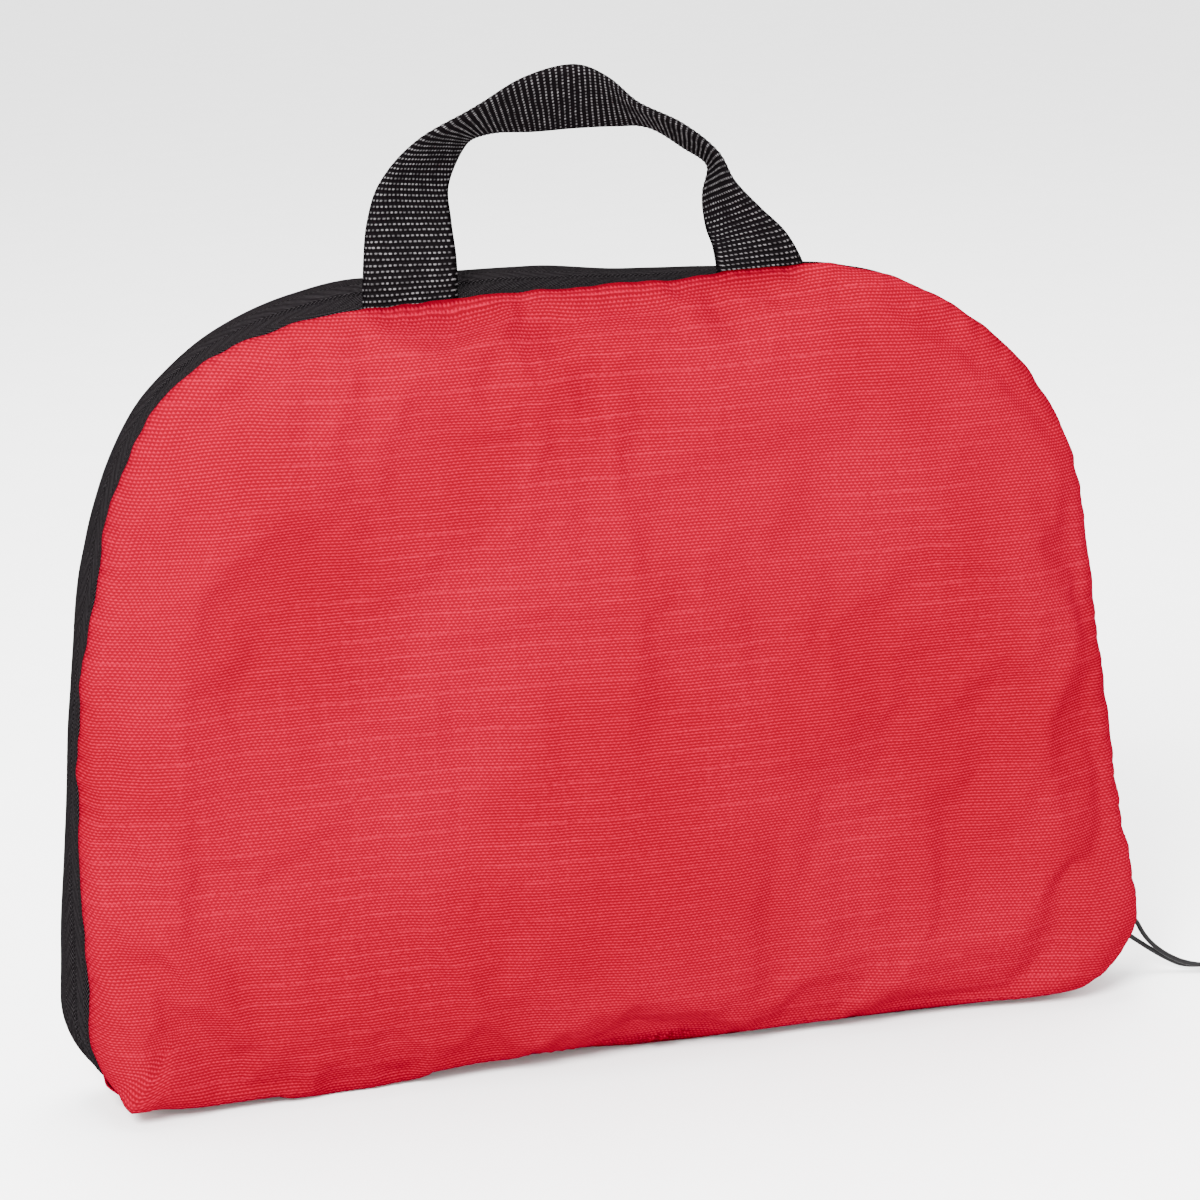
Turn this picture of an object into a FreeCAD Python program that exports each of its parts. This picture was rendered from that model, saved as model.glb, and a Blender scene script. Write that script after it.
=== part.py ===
import FreeCAD, Part
import math
import os
import Sketcher
from FreeCAD import Placement, Rotation, Vector

# Fire blanket in a soft zipped pouch, millimetres. X right, Y back, Z up; the pouch stands on its bottom.
DIMENSIONS = [
    # pouch outline, front view
    ("corner_across", 115.9),  # bottom corner arc centre from the middle
    ("corner_radius", 24.6),
    ("shoulder_across", 53.8),  # shoulder arc centre from the middle
    ("shoulder_radius", 74.7),
    ("pouch_height", 201.0),
    # pouch section
    ("seam_depth", 9.0),  # either seam from the middle plane of the band
    ("front_belly", 14.0),
    ("back_belly", 7.0),
    ("front_round", 8.0),
    ("back_round", 5.0),
    ("cloth", 1.2),
    ("gusset_top", 8.0),  # height at which the bottom cloth meets the zip tapes
    ("gusset_front", 14.0),
    ("gusset_half", 114.0),
    ("hinge_gap", 1.6),
    ("seam_gap", 0.8),
    # zip
    ("tape", 0.7),
    ("coil", 2.2),
    ("coil_width", 2.3),
    ("chain_gap", 0.9),  # tape edge from the middle plane
    ("coil_foot_left", 13.5),
    ("coil_foot_right", 25.5),
    ("stop_length", 3.0),
    ("bottom_stop_z", 10.5),
    ("bottom_stop_lap", 0.5),  # how far the bottom stop reaches in front of the middle plane
    ("top_stop_z", 22.5),
    ("binding", 1.6),
    ("binding_width", 4.5),
    ("binding_front", 6.5),
    # slider and pull
    ("slider_z", 35.0),
    ("slider_half_length", 5.5),
    ("slider_half_width", 4.3),
    ("slider_plate", 1.05),
    ("slider_play", 0.45),
    ("slider_round", 2.2),
    ("wedge_half_width", 0.65),
    ("wedge_length", 3.0),
    ("crown_half_length", 3.5),
    ("crown_half_width", 0.9),
    ("crown_sunk", 0.5),  # how deep the crown's feet sit in the outer plate
    ("crown_leg", 1.2),
    ("crown_roof", 1.1),
    ("crown_top", 3.8),
    ("tab_half_width", 2.4),
    ("tab_thick", 0.8),
    ("tab_lift", 1.7),  # tab's inner face above the zip's outer face
    ("tab_near", 0.6),  # tab's ends below the slider's middle
    ("tab_far", 22.3),
    ("tab_rim", 1.1),
    ("window_near", 1.4),
    ("window_far", 4.4),
    ("hole_rim", 1.0),
    ("hole_near", 17.9),
    ("cord_width", 1.3),
    ("grip_length", 24.0),
    ("grip_half_width", 3.5),
    ("grip_thick", 4.8),
    # handle
    ("webbing_thick", 1.8),
    ("tail_length", 15.0),
    ("tail_gap", 0.3),
    # folded blanket
    ("blanket_half_width", 102.5),
    ("blanket_height", 144.0),
    ("blanket_thick", 18.0),
    ("blanket_back", 1.0),  # blanket's back face in front of the middle plane
    ("blanket_foot", 6.0),
    ("blanket_round", 8.0),
    ("pull_tape_half_width", 12.5),
    ("pull_tape_length", 62.0),
    ("pull_tape_rise", 6.0),  # how far the tapes stand above the blanket
    ("pull_tape_thick", 1.4),
    ("pull_tape_across", 58.0),
]

# Both edges of the webbing from the left foot to the right one: the outer edge, then the inner one.
HANDLE_EDGES = [
    ((-56.4, -9.0, 202.2), (-32.6, -9.0, 202.2)),
    ((-56.4, -9.1, 204.2), (-32.6, -8.9, 204.2)),
    ((-55.9, -10.0, 212.0), (-32.4, -8.0, 210.5)),
    ((-54.8, -12.5, 222.0), (-32.6, -5.0, 219.6)),
    ((-51.6, -15.5, 231.6), (-32.2, -2.5, 228.2)),
    ((-43.3, -18.1, 240.7), (-26.8, 0.1, 237.1)),
    ((-29.3, -19.5, 247.8), (-21.0, 1.7, 239.2)),
    ((-16.1, -18.2, 254.4), (-9.9, 0.2, 239.0)),
    ((-3.4, -17.6, 256.8), (0.6, -0.4, 239.2)),
    ((5.0, -18.5, 253.4), (11.2, 0.5, 238.8)),
    ((11.6, -19.7, 246.7), (20.5, 1.7, 237.7)),
    ((22.3, -20.1, 241.0), (28.7, 2.1, 232.2)),
    ((30.9, -20.5, 233.6), (34.8, 2.5, 227.2)),
    ((35.7, -20.0, 225.8), (32.6, 1.5, 219.8)),
    ((42.6, -16.5, 218.6), (32.2, -2.0, 212.8)),
    ((50.5, -12.5, 210.8), (33.0, -5.5, 207.6)),
    ((55.6, -9.2, 204.2), (33.2, -8.8, 204.0)),
    ((56.2, -9.0, 202.2), (33.2, -9.0, 202.2)),
]

# Pull cord: from the grip up through the pull tab's hole and back to the grip.
CORD_ROUTE = [
    (161.8, -8.0, 1.9),
    (158.0, -6.6, 2.3),
    (153.4, -4.6, 4.4),
    (149.6, -2.8, 7.4),
    (147.2, -1.3, 10.8),
    (146.0, -0.3, 14.0),
    (143.8, 0.0, 16.0),
    (142.0, 0.3, 14.2),
    (142.4, 0.3, 11.2),
    (145.2, -0.1, 9.0),
    (149.0, -1.5, 6.2),
    (153.2, -3.3, 3.4),
    (157.6, -5.3, 1.3),
    (161.8, -6.6, 1.5),
]
GRIP_PLACE = (161.8, -7.3, 0.0)
GRIP_TURN = -20.5

SAME = 1e-6  # lengths closer than this are the same
BEND_SHARE = 0.45  # share of the shorter run that each bend of a wire takes up

doc = FreeCAD.newDocument("fire_blanket_pouch")
dims = doc.addObject("Spreadsheet::Sheet", "dims")
size = {}
for row, (alias, value) in enumerate(DIMENSIONS, start=1):
    dims.set("A%d" % row, alias)
    dims.set("B%d" % row, str(value))
    dims.setAlias("B%d" % row, alias)
    size[alias] = value
doc.recompute()

parts = []


def total(names):
    """Sum of named sizes; a name with a leading minus is taken off."""
    return sum(-size[name[1:]] if name[0] == "-" else size[name] for name in names)


def formula(names):
    """The same sum as an expression on the sheet."""
    if not names:
        return "0"
    return " ".join("- dims.%s" % n[1:] if n[0] == "-" else "+ dims.%s" % n for n in names).lstrip("+ ")


def minus(names):
    """The names of the opposite sum."""
    return [name[1:] if name[0] == "-" else "-" + name for name in names]


def new_body(label):
    body = doc.addObject("PartDesign::Body", label)
    body.Label = label
    parts.append(body)
    return body


def plane_sketch(body, name, role, lift):
    """A sketch on one of the body's own planes, moved along its normal by a sum of named sizes."""
    sketch = body.newObject("Sketcher::SketchObject", name)
    plane = next(f for f in body.Origin.OriginFeatures if f.Role == role)
    sketch.AttachmentSupport = [(plane, "")]
    sketch.MapMode = "FlatFace"
    sketch.setExpression("AttachmentOffset.Base.z", formula(lift))
    return sketch


def side_lean():
    """Angle of the straight sides from the vertical, from the two arcs they touch."""
    across = size["corner_across"] - size["shoulder_across"]
    rise = size["corner_radius"] - (size["pouch_height"] - size["shoulder_radius"])
    bigger = size["shoulder_radius"] - size["corner_radius"]
    return math.atan2(rise, across) + math.acos(bigger / math.hypot(across, rise))


def mirrored(point):
    return Vector(-point.x, point.y, 0)


def arc(centre, radius, start, end):
    return Part.ArcOfCircle(Part.Circle(centre, Vector(0, 0, 1), radius), start, end)


def add_outline(sketch, inset):
    """The pouch's outline, moved inwards: four arcs and four lines, tangent to each other."""
    lean = side_lean()
    away = Vector(math.cos(lean), math.sin(lean), 0)
    cut = total(inset)
    low = size["corner_radius"] - cut
    high = size["shoulder_radius"] - cut
    corner = Vector(size["corner_across"], size["corner_radius"], 0)
    shoulder = Vector(size["shoulder_across"], size["pouch_height"] - size["shoulder_radius"], 0)
    floor = Vector(corner.x, corner.y - low, 0)
    roof = Vector(shoulder.x, shoulder.y + high, 0)
    side_low = corner + away * low
    side_high = shoulder + away * high
    first = sketch.GeometryCount
    sketch.addGeometry([
        Part.LineSegment(mirrored(floor), floor),
        arc(corner, low, -math.pi / 2, lean),
        Part.LineSegment(side_low, side_high),
        arc(shoulder, high, lean, math.pi / 2),
        Part.LineSegment(roof, mirrored(roof)),
        arc(mirrored(shoulder), high, math.pi / 2, math.pi - lean),
        Part.LineSegment(mirrored(side_high), mirrored(side_low)),
        arc(mirrored(corner), low, math.pi - lean, 1.5 * math.pi),
    ], False)
    for k in range(8):
        sketch.addConstraint(Sketcher.Constraint("Tangent", first + k, 2, first + (k + 1) % 8, 1))
    centres = [
        (1, 1, "corner_across", ["corner_radius"], "corner_radius"),
        (3, 1, "shoulder_across", ["pouch_height", "-shoulder_radius"], "shoulder_radius"),
        (5, -1, "shoulder_across", ["pouch_height", "-shoulder_radius"], "shoulder_radius"),
        (7, -1, "corner_across", ["corner_radius"], "corner_radius"),
    ]
    for k, side, across, up, radius in centres:
        ends = (-1, 1, first + k, 3) if side > 0 else (first + k, 3, -1, 1)
        bind(sketch, ("DistanceX",) + ends, [across])
        bind(sketch, ("DistanceY", -1, 1, first + k, 3), up)
        bind(sketch, ("Radius", first + k), [radius] + minus(inset))


def bind(sketch, what, names):
    """A driving constraint of the sketch, bound to a sum of named sizes."""
    index = sketch.addConstraint(Sketcher.Constraint(*what, total(names)))
    sketch.renameConstraint(index, "size_%d" % index)
    sketch.setExpression("Constraints.size_%d" % index, formula(names))


def add_rectangle(sketch, left, right, bottom, top):
    """A rectangle with its four sides at sums of named sizes from the origin."""
    x0, x1, y0, y1 = (total(names) for names in (left, right, bottom, top))
    corners = [Vector(x0, y0, 0), Vector(x1, y0, 0), Vector(x1, y1, 0), Vector(x0, y1, 0)]
    first = sketch.GeometryCount
    sketch.addGeometry([Part.LineSegment(corners[k], corners[(k + 1) % 4]) for k in range(4)], False)
    for k in range(4):
        sketch.addConstraint(Sketcher.Constraint("Coincident", first + k, 2, first + (k + 1) % 4, 1))
        sketch.addConstraint(Sketcher.Constraint("Vertical" if k % 2 else "Horizontal", first + k))
    for way, end, names in (("X", 1, left), ("Y", 1, bottom)):
        place(sketch, way, first, end, names)
    for way, end, names in (("X", 1, right), ("Y", 1, top)):
        place(sketch, way, first + 2, end, names)


def place(sketch, way, geometry, end, names):
    """Binds a point's distance from the origin, whichever its sign."""
    if total(names) < 0:
        bind(sketch, ("Distance" + way, geometry, end, -1, 1), minus(names))
    else:
        bind(sketch, ("Distance" + way, -1, 1, geometry, end), names)


def pad(body, sketch, length):
    feature = body.newObject("PartDesign::Pad", "Pad")
    feature.Profile = sketch
    feature.setExpression("Length", formula(length))
    sketch.Visibility = False
    doc.recompute()
    return feature


def pocket(body, sketch, length=None, toward_normal=False):
    """Cuts the sketch's shape away, all through when no length is given, and checks that it cut."""
    before = body.Shape.Volume
    feature = body.newObject("PartDesign::Pocket", "Pocket")
    feature.Profile = sketch
    if length is None:
        feature.Type = "ThroughAll"
        feature.Midplane = True
    else:
        feature.setExpression("Length", formula(length))
        feature.Reversed = toward_normal
    doc.recompute()
    if body.Shape.Volume >= before - SAME:
        raise RuntimeError("%s: a pocket cut nothing" % body.Label)
    return feature


def fillet(body, base, radius, wanted):
    """Rounds the edges of the base feature that the test picks."""
    names = ["Edge%d" % (k + 1) for k, edge in enumerate(base.Shape.Edges) if wanted(edge)]
    feature = body.newObject("PartDesign::Fillet", "Fillet")
    feature.Base = (base, names)
    feature.setExpression("Radius", formula(radius))
    doc.recompute()
    return feature


def every_edge(edge):
    return True


def at_depth(depth):
    """Picks the edges that lie wholly at one depth Y."""
    def wanted(edge):
        places = [edge.valueAt(parameter) for parameter in edge.ParameterRange]
        places.append(edge.CenterOfMass)
        return all(abs(place.y - depth) < SAME for place in places)
    return wanted


def across_at(length, height):
    """Picks the edges of one length whose middle lies at one height Z."""
    def wanted(edge):
        return abs(edge.Length - length) < SAME and abs(edge.CenterOfMass.z - height) < SAME
    return wanted


def panel(label, belly, rounding, side):
    """A cloth pan with the pouch's outline: side -1 is the front one, 1 the back one."""
    body = new_body(label)
    deep = ["seam_depth", belly]
    start = deep if side > 0 else ["seam_depth"]
    outer = plane_sketch(body, "outer", "XZ_Plane", minus(start) if side > 0 else start)
    add_outline(outer, [])
    shell = fillet(body, pad(body, outer, [belly]), [rounding], at_depth(side * total(deep)))
    open_face = ["Face%d" % (k + 1) for k, face in enumerate(shell.Shape.Faces)
                 if abs(face.CenterOfMass.y - side * size["seam_depth"]) < SAME]
    hollow = body.newObject("PartDesign::Thickness", "Thickness")
    hollow.Base = (shell, open_face)
    hollow.setExpression("Value", "dims.cloth")
    hollow.Reversed = True
    doc.recompute()
    return body


def cut_below(body, height, left, right):
    """Cuts away what is below a height between two distances from the middle."""
    sketch = plane_sketch(body, "below", "XZ_Plane", [])
    add_rectangle(sketch, left, right, ["-coil_foot_right"], height)
    pocket(body, sketch)


def ring(label, inset, thick, near, depth):
    """A band that follows the outline: inset and thick inwards, from the depth near, forwards by depth."""
    body = new_body(label)
    sketch = plane_sketch(body, "band", "XZ_Plane", near)
    add_outline(sketch, inset)
    add_outline(sketch, inset + thick)
    pad(body, sketch, depth)
    return body


def front_panel():
    body = panel("front_panel", "front_belly", "front_round", -1)
    sketch = plane_sketch(body, "mouth", "XY_Plane", ["-cloth"])
    add_rectangle(sketch, ["-gusset_half", "-seam_gap"], ["gusset_half", "seam_gap"],
                  ["-gusset_front", "-hinge_gap"], ["seam_depth"])
    pocket(body, sketch, ["cloth", "cloth", "seam_gap"], toward_normal=True)


def bottom_gusset():
    """The bottom cloth: a flat sheet under the blanket, turned up at both corners."""
    body = ring("bottom_gusset", [], ["cloth"], ["-seam_depth"], ["seam_depth", "seam_depth", "-seam_gap"])
    above = plane_sketch(body, "above", "XZ_Plane", [])
    wide = ["corner_across", "corner_radius", "corner_radius"]
    add_rectangle(above, minus(wide), wide, ["gusset_top"], ["pouch_height", "corner_radius"])
    pocket(body, above)
    sheet = plane_sketch(body, "sheet", "XY_Plane", [])
    add_rectangle(sheet, ["-gusset_half"], ["gusset_half"], ["-gusset_front"], ["seam_depth", "-cloth"])
    pad(body, sheet, ["cloth"])


def zip_chain():
    """The two zip tapes and their coils, the stops and the bindings inside the seams."""
    half = ["seam_depth", "-chain_gap"]
    wide = ["corner_across", "corner_radius", "corner_radius"]
    bands = [
        ("zip_tape_front", [], ["tape"], ["chain_gap"], half, ["gusset_top"], ["gusset_top"]),
        ("zip_tape_back", [], ["tape"], ["-seam_depth"], half, ["gusset_top"], ["gusset_top"]),
        ("zip_coil_front", ["tape"], ["coil"], ["chain_gap"], ["coil_width"],
         ["coil_foot_left"], ["coil_foot_right"]),
        ("zip_coil_back", ["tape"], ["coil"], ["-chain_gap", "-coil_width"], ["coil_width"],
         ["coil_foot_left"], ["coil_foot_right"]),
        ("seam_binding_front", ["cloth"], ["binding"], ["binding_front"], ["binding_width"],
         ["gusset_top"], ["gusset_top"]),
        ("seam_binding_back", ["cloth"], ["binding"], ["-binding_front", "-binding_width"],
         ["binding_width"], ["gusset_top"], ["gusset_top"]),
    ]
    for label, inset, thick, near, depth, foot_left, foot_right in bands:
        body = ring(label, inset, thick, near, depth)
        cut_below(body, foot_left, minus(wide), ["chain_gap"])
        cut_below(body, foot_right, ["chain_gap"], wide)


def zip_stops():
    """The clip at the zip's start, and one at the parked slider's nose on either chain."""
    radius = size["corner_radius"] - size["tape"]
    length = size["stop_length"]
    chain = ["chain_gap", "coil_width"]
    # a straight clip's outer edge touches the curved tape at both its ends
    reach = math.sqrt(radius ** 2 - (length / 2) ** 2)
    stops = [
        ("zip_bottom_stop", -1, "bottom_stop_z", ["-bottom_stop_lap"], chain),
        ("zip_top_stop_front", 1, "top_stop_z", minus(chain), ["-chain_gap"]),
        ("zip_top_stop_back", 1, "top_stop_z", ["chain_gap"], chain),
    ]
    for label, side, height, front, back in stops:
        lean = math.degrees(math.asin((size[height] - size["corner_radius"]) / radius))
        turn = Rotation(Vector(0, 1, 0), -lean if side > 0 else 180 + lean)
        stop = doc.addObject("Part::Box", label)
        stop.Label = label
        stop.setExpression("Length", "dims.coil")
        stop.setExpression("Width", formula(back + minus(front)))
        stop.setExpression("Height", "dims.stop_length")
        corner = turn.multVec(Vector(reach - size["coil"], 0, -length / 2))
        centre = Vector(side * size["corner_across"], total(front), size["corner_radius"])
        stop.Placement = Placement(centre + corner, turn)
        parts.append(stop)


def slider_place():
    """Where the slider's middle sits on the right side, with X outwards and Z along the zip."""
    lean = side_lean()
    reach = size["corner_across"] * math.cos(lean) + size["corner_radius"] * (1 + math.sin(lean))
    across = (reach - size["slider_z"] * math.sin(lean)) / math.cos(lean)
    return Placement(Vector(across, 0, size["slider_z"]), Rotation(Vector(0, 1, 0), -math.degrees(lean)))


def box_between(label, low, high):
    """A box between two corners, each given as three sums of named sizes."""
    box = doc.addObject("Part::Box", label)
    box.Label = label
    for side, start, end in zip(("Length", "Width", "Height"), low, high):
        box.setExpression(side, formula(end + minus(start)))
    box.Placement = Placement(Vector(*(total(names) for names in low)), Rotation())
    return box


def slider_body():
    """Two plates joined by the wedge at the nose, with the crown that holds the pull."""
    side = ["slider_half_width"]
    half = ["slider_half_length"]
    play = ["slider_play"]
    outside = ["slider_play", "slider_plate"]
    inside = ["-tape", "-coil", "-slider_play", "-slider_play"]
    under = inside + ["-slider_plate"]
    wedge = ["wedge_half_width"]
    crown = ["crown_half_width"]
    leg = ["crown_half_length"]
    top = ["crown_top"]
    eye_leg = ["crown_half_length", "-crown_leg"]
    nose = minus(half)
    outer_plate = box_between("outer_plate", (play, minus(side), nose), (outside, side, half))
    inner_plate = box_between("inner_plate", (under, minus(side), nose), (inside, side, half))
    post = box_between("post", (under, minus(wedge), nose), (outside, wedge, nose + ["wedge_length"]))
    arch = box_between("arch", (outside + ["-crown_sunk"], minus(crown), minus(leg)), (top, crown, leg))
    eye = box_between("eye", (outside, minus(side), minus(eye_leg)), (top + ["-crown_roof"], side, eye_leg))
    crown_cut = doc.addObject("Part::Cut", "crown")
    crown_cut.Base = arch
    crown_cut.Tool = eye
    joined = doc.addObject("Part::MultiFuse", "slider_cast")
    joined.Shapes = [outer_plate, inner_plate, post, crown_cut]
    doc.recompute()
    body = doc.addObject("Part::Fillet", "slider_body")
    body.Base = joined
    radius = size["slider_round"]
    body.Edges = [(k + 1, radius, radius) for k, edge in enumerate(joined.Shape.Edges) if plate_corner(edge)]
    body.Label = "slider_body"
    doc.recompute()
    body.Placement = slider_place()
    parts.append(body)


def plate_corner(edge):
    """Picks the short upright edges at the corners of the slider's two plates."""
    middle = edge.CenterOfMass
    return (abs(edge.Length - size["slider_plate"]) < SAME
            and abs(abs(middle.z) - size["slider_half_length"]) < SAME
            and abs(abs(middle.y) - size["slider_half_width"]) < SAME)


def tab_tips():
    """The outer face's two ends at the tab's middle, in the slider's own frame."""
    out = size["tab_lift"] + size["tab_thick"]
    return [(out, 0, -size["tab_far"]), (out, 0, 0)]


def pull_tab():
    """A flat tab with a window around the crown's leg and a hole for the cord."""
    body = new_body("pull_tab")
    sketch = plane_sketch(body, "tab", "YZ_Plane", ["tab_lift"])
    half = ["tab_half_width"]
    window = ["tab_half_width", "-tab_rim"]
    hole = ["tab_half_width", "-hole_rim"]
    add_rectangle(sketch, minus(half), half, ["-tab_far"], ["-tab_near"])
    add_rectangle(sketch, minus(window), window, ["-window_far"], ["-window_near"])
    add_rectangle(sketch, minus(hole), hole, ["-tab_far", "tab_rim"], ["-hole_near"])
    plate = pad(body, sketch, ["tab_thick"])
    fillet(body, plate, ["tab_thick"], across_at(size["tab_thick"], -size["tab_far"]))
    body.Placement = slider_place()


def bent_wire(points, name):
    """Straight runs joined by tangent arcs through the route, with each arc's radius printed."""
    points = [Vector(*p) for p in points]
    edges = []
    start = points[0]
    radii = []
    for before, corner, after in zip(points, points[1:], points[2:]):
        into = (corner - before).normalize()
        out = (after - corner).normalize()
        half_turn = into.getAngle(out) / 2
        trim = BEND_SHARE * min((corner - before).Length, (after - corner).Length)
        radius = trim / math.tan(half_turn)
        first = corner - into * trim
        last = corner + out * trim
        inward = (out - into).normalize()
        middle = corner + inward * (radius / math.cos(half_turn) - radius)
        edges += [Part.LineSegment(start, first).toShape(), Part.Arc(first, middle, last).toShape()]
        start = last
        radii.append(radius)
    edges.append(Part.LineSegment(start, points[-1]).toShape())
    print(name, "bend radii, mm:", " ".join("%.1f" % r for r in radii))
    return Part.Wire(edges)


def pull_cord():
    wire = bent_wire(CORD_ROUTE, "pull_cord")
    along = Vector(*CORD_ROUTE[1]) - Vector(*CORD_ROUTE[0])
    section = Part.Wire([Part.Circle(Vector(*CORD_ROUTE[0]), along, size["cord_width"] / 2).toShape()])
    tube = wire.makePipeShell([section], True, True)
    expected = wire.Length * math.pi * size["cord_width"] ** 2 / 4
    print("pull_cord length %.1f mm, volume %.1f against %.1f" % (wire.Length, tube.Volume, expected))
    cord = doc.addObject("Part::Feature", "pull_cord")
    cord.Label = "pull_cord"
    cord.Shape = tube
    parts.append(cord)


def cord_grip():
    body = new_body("cord_grip")
    sketch = plane_sketch(body, "plan", "XY_Plane", [])
    add_rectangle(sketch, [], ["grip_length"], ["-grip_half_width"], ["grip_half_width"])
    block = pad(body, sketch, ["grip_thick"])
    fillet(body, block, ["cloth"], every_edge)
    body.Placement = Placement(Vector(*GRIP_PLACE), Rotation(Vector(0, 0, 1), GRIP_TURN))


def handle():
    """The webbing loop through its two edges, and its two tails sewn in under the seam."""
    middles = [(Vector(*outer) + Vector(*inner)) / 2 for outer, inner in HANDLE_EDGES]
    thin = size["webbing_thick"] / 2
    sections = []
    for k, (outer, inner) in enumerate(HANDLE_EDGES):
        ahead = middles[min(k + 1, len(middles) - 1)] - middles[max(k - 1, 0)]
        if k in (0, len(middles) - 1):
            ahead = Vector(0, 0, 1 if k == 0 else -1)
        across = Vector(*inner) - Vector(*outer)
        up = ahead.cross(across).normalize() * thin
        corners = [Vector(*outer) - up, Vector(*inner) - up, Vector(*inner) + up, Vector(*outer) + up]
        sections.append(Part.makePolygon(corners + corners[:1]))
    webbing = doc.addObject("Part::Feature", "handle_webbing")
    webbing.Label = "handle_webbing"
    webbing.Shape = Part.makeLoft(sections, True, False)
    parts.append(webbing)
    top = size["pouch_height"] - size["cloth"] - size["tail_gap"]
    front = -size["binding_front"] - size["binding_width"] - size["webbing_thick"] - size["tail_gap"]
    for label, foot in (("handle_tail_left", HANDLE_EDGES[0]), ("handle_tail_right", HANDLE_EDGES[-1])):
        tail = doc.addObject("Part::Box", label)
        tail.Label = label
        tail.Length = abs(foot[1][0] - foot[0][0])
        tail.setExpression("Width", "dims.webbing_thick")
        tail.setExpression("Height", "dims.tail_length")
        left = min(foot[0][0], foot[1][0])
        tail.Placement = Placement(Vector(left, front, top - size["tail_length"]), Rotation())
        parts.append(tail)


def blanket():
    """The folded blanket as one rounded block, and the two tapes that pull it out."""
    body = new_body("blanket")
    sketch = plane_sketch(body, "front_view", "XZ_Plane", ["blanket_back"])
    top = ["blanket_foot", "blanket_height"]
    add_rectangle(sketch, ["-blanket_half_width"], ["blanket_half_width"], ["blanket_foot"], top)
    block = pad(body, sketch, ["blanket_thick"])
    fillet(body, block, ["blanket_round"], every_edge)
    back = ["-blanket_back", "-blanket_thick"]
    front = back + ["-pull_tape_thick"]
    end = top + ["pull_tape_rise"]
    start = end + ["-pull_tape_length"]
    across = ["pull_tape_across"]
    for label, middle in (("blanket_tape_left", minus(across)), ("blanket_tape_right", across)):
        left = middle + ["-pull_tape_half_width"]
        right = middle + ["pull_tape_half_width"]
        parts.append(box_between(label, (left, front, start), (right, back, end)))


def centre_over_origin():
    """Moves every part so that the box of the whole pouch, with its slider, is centred on the origin."""
    tab = next(part for part in parts if part.Label == "pull_tab")
    tip = max(tab.Placement.multVec(Vector(*corner)).x for corner in tab_tips())
    widest = size["corner_across"] + size["corner_radius"]
    shift = Vector((widest - tip) / 2, (size["front_belly"] - size["back_belly"]) / 2, 0)
    for part in parts:
        part.Placement = Placement(part.Placement.Base + shift, part.Placement.Rotation)


def write_parts():
    doc.recompute()
    for thing in doc.Objects:
        if "Invalid" in thing.State or "Error" in thing.State:
            raise RuntimeError("%s: %s" % (thing.Label, thing.State))
    for part in parts:
        if part.Shape.isNull() or not part.Shape.isValid() or not part.Shape.Solids:
            raise RuntimeError("%s has no valid solid" % part.Label)
    os.makedirs("parts", exist_ok=True)
    for part in parts:
        part.Shape.exportStep("parts/%s.step" % part.Label)
        box = part.Shape.BoundBox
        print("%-20s %8.1f mm3  x %.1f..%.1f  y %.1f..%.1f  z %.1f..%.1f" % (
            part.Label, part.Shape.Volume, box.XMin, box.XMax, box.YMin, box.YMax, box.ZMin, box.ZMax))


front_panel()
panel("back_panel", "back_belly", "back_round", 1)
bottom_gusset()
zip_chain()
zip_stops()
slider_body()
pull_tab()
pull_cord()
cord_grip()
handle()
blanket()
centre_over_origin()
write_parts()
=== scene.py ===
import bpy
import bmesh
import math
import numpy as np
from mathutils import Matrix, Vector, geometry, noise


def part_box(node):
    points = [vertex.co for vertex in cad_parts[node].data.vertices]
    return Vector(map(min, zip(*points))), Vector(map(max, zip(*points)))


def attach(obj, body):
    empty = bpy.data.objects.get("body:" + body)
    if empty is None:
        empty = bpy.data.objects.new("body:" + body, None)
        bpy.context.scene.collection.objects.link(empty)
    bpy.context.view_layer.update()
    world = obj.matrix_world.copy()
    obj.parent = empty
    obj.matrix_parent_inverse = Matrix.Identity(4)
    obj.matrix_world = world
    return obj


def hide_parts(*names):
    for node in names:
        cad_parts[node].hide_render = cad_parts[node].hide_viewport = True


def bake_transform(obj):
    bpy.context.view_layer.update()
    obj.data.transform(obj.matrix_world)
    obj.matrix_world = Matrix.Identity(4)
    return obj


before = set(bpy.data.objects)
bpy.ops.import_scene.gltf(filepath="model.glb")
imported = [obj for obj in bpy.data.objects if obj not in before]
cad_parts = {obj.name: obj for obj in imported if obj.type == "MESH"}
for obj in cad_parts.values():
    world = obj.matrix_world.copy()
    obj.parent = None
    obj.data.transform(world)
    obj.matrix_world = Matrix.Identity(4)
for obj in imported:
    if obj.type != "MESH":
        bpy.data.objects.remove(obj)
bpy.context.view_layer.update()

MM = 0.001
FRONT_LOW, FRONT_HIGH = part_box("front_panel")
BACK_LOW, BACK_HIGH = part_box("back_panel")
BLANKET_LOW, BLANKET_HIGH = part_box("blanket")
MIDDLE_X = (FRONT_LOW.x + FRONT_HIGH.x) / 2
HALF_WIDTH = (FRONT_HIGH.x - FRONT_LOW.x) / 2
HEIGHT = FRONT_HIGH.z
SEAM_FRONT = FRONT_HIGH.y
SEAM_BACK = BACK_LOW.y
SEAM_MIDDLE = (SEAM_FRONT + SEAM_BACK) / 2
CORNER_RADIUS = 24.6 * MM
SHOULDER_RADIUS = 74.7 * MM
SHOULDER_ACROSS = 53.8 * MM
GUSSET_TOP = 8 * MM
CLOTH = 0.35 * MM
SLIDER_ROOM = 0.45 * MM
BLANKET_SIDE = 1.0


# ---------------------------------------------------------------- materials

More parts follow.
